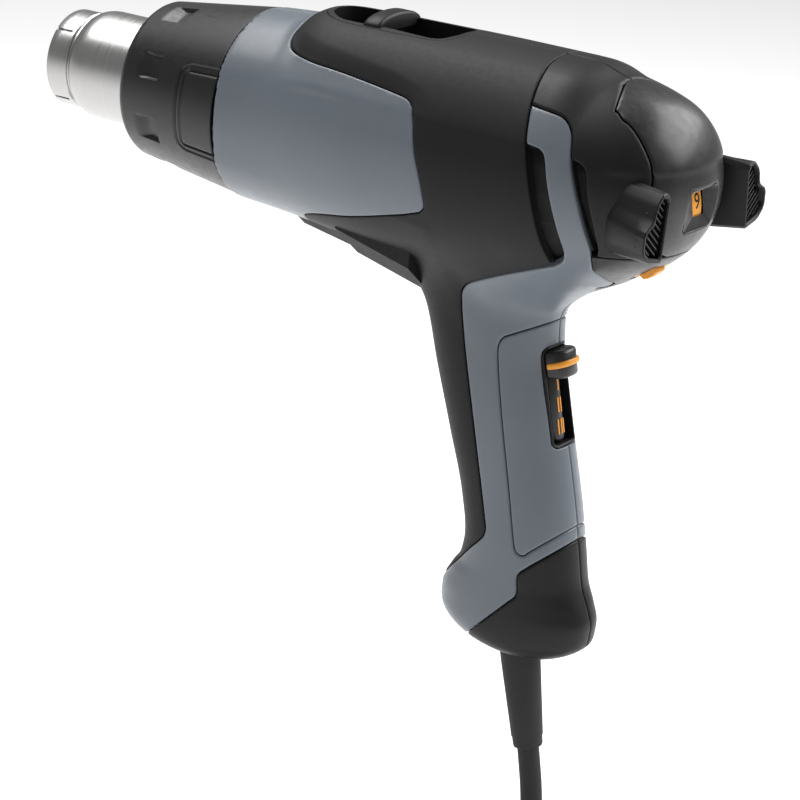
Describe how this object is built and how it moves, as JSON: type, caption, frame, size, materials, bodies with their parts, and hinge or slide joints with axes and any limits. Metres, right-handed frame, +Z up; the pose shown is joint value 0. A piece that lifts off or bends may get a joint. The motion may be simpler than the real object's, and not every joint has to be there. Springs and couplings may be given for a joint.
{
  "type": "heat gun",
  "caption": "Pistol-shaped electric hot-air gun: steel nozzle in a twist-off protective sleeve, ribbed stand feet at the tail, temperature wheel, air slide switch and mains cord",
  "frame": {"origin": "in the middle of the handle, where a hand holds the gun", "axes": "-X is where the nozzle points, along the barrel's axis; +Z is up with the handle below the barrel; -Y is the gun's left side"},
  "size_m": [0.267, 0.1207, 0.3309],
  "materials": {
    "blue_grey_plastic": "satin",
    "black_plastic": "fine grained",
    "hood_plastic": "semi gloss",
    "soft_rubber": "matte",
    "cord_rubber": "matte",
    "stainless_steel": "brushed",
    "dark_steel": "matte",
    "orange_plastic": "satin",
    "ceramic": "matte, opaque",
    "mica": "satin, opaque",
    "board_green": "satin",
    "brass_pins": "polished"
  },
  "bodies": {
    "gun": {"barrel_panel_left": "blue_grey_plastic", "barrel_panel_right": "blue_grey_plastic", "base_cap_left": "black_plastic", "base_cap_right": "black_plastic", "board_capacitor": "dark_steel", "board_heat_sink": "stainless_steel", "ceramic_core": "ceramic", "chin_cover": "black_plastic", "control_board": "board_green", "cord_boot": "soft_rubber", "cord_clamp": "black_plastic", "cord_coil": "cord_rubber", "cord_tail": "cord_rubber", "element_holder": "ceramic", "fan_duct": "black_plastic", "grip_cover_left": "soft_rubber", "grip_cover_right": "soft_rubber", "handle_inlay_left": "blue_grey_plastic", "handle_inlay_right": "blue_grey_plastic", "handle_panel_left": "blue_grey_plastic", "handle_panel_right": "blue_grey_plastic", "hanging_recess": "black_plastic", "heating_wire": "dark_steel", "housing_left": "blue_grey_plastic", "housing_right": "blue_grey_plastic", "housing_screw_1": "stainless_steel", "housing_screw_2": "stainless_steel", "housing_screw_3": "stainless_steel", "housing_screw_4": "stainless_steel", "housing_screw_5": "stainless_steel", "intake_screen_left": "dark_steel", "intake_screen_right": "dark_steel", "mica_tube": "mica", "motor": "stainless_steel", "nozzle_flange": "stainless_steel", "nozzle_tip": "stainless_steel", "nozzle_tube": "stainless_steel", "plug_pin_1": "brass_pins", "plug_pin_2": "brass_pins", "power_cord": "cord_rubber", "power_plug": "soft_rubber", "rear_hood": "hood_plastic", "rear_side_cover_left": "black_plastic", "rear_side_cover_right": "black_plastic", "slide_switch": "dark_steel", "stand_foot_left": "black_plastic", "stand_foot_right": "black_plastic", "supply_leads": "soft_rubber", "switch_bay": "black_plastic", "switch_track": "black_plastic", "temperature_potentiometer": "dark_steel"},
    "fan_rotor": {"fan": "black_plastic", "motor_shaft": "stainless_steel"},
    "temperature_dial": {"temperature_wheel": "orange_plastic"},
    "air_control": {"air_slider": "black_plastic", "slider_band": "orange_plastic"},
    "sleeve": {"protective_sleeve": "soft_rubber"}
  },
  "joints": [
    {"name": "fan_spin", "type": "hinge", "parent": "gun", "child": "fan_rotor", "pos_m": [-0.0025, 0, 0.095], "axis": [1, 0, 0], "continuous": true},
    {"name": "temperature_dial", "type": "hinge", "parent": "gun", "child": "temperature_dial", "pos_m": [0.033, 0, 0.0911], "axis": [0, 1, 0], "range_deg": [0, 270]},
    {"name": "air_slide", "type": "slide", "parent": "gun", "child": "air_control", "axis": [0.2164, 0, -0.9763], "range_m": [0, 0.02]},
    {"name": "sleeve_twist", "type": "hinge", "parent": "gun", "child": "sleeve", "pos_m": [-0.13, 0, 0.095], "axis": [1, 0, 0], "range_deg": [0, 20]}
  ]
}
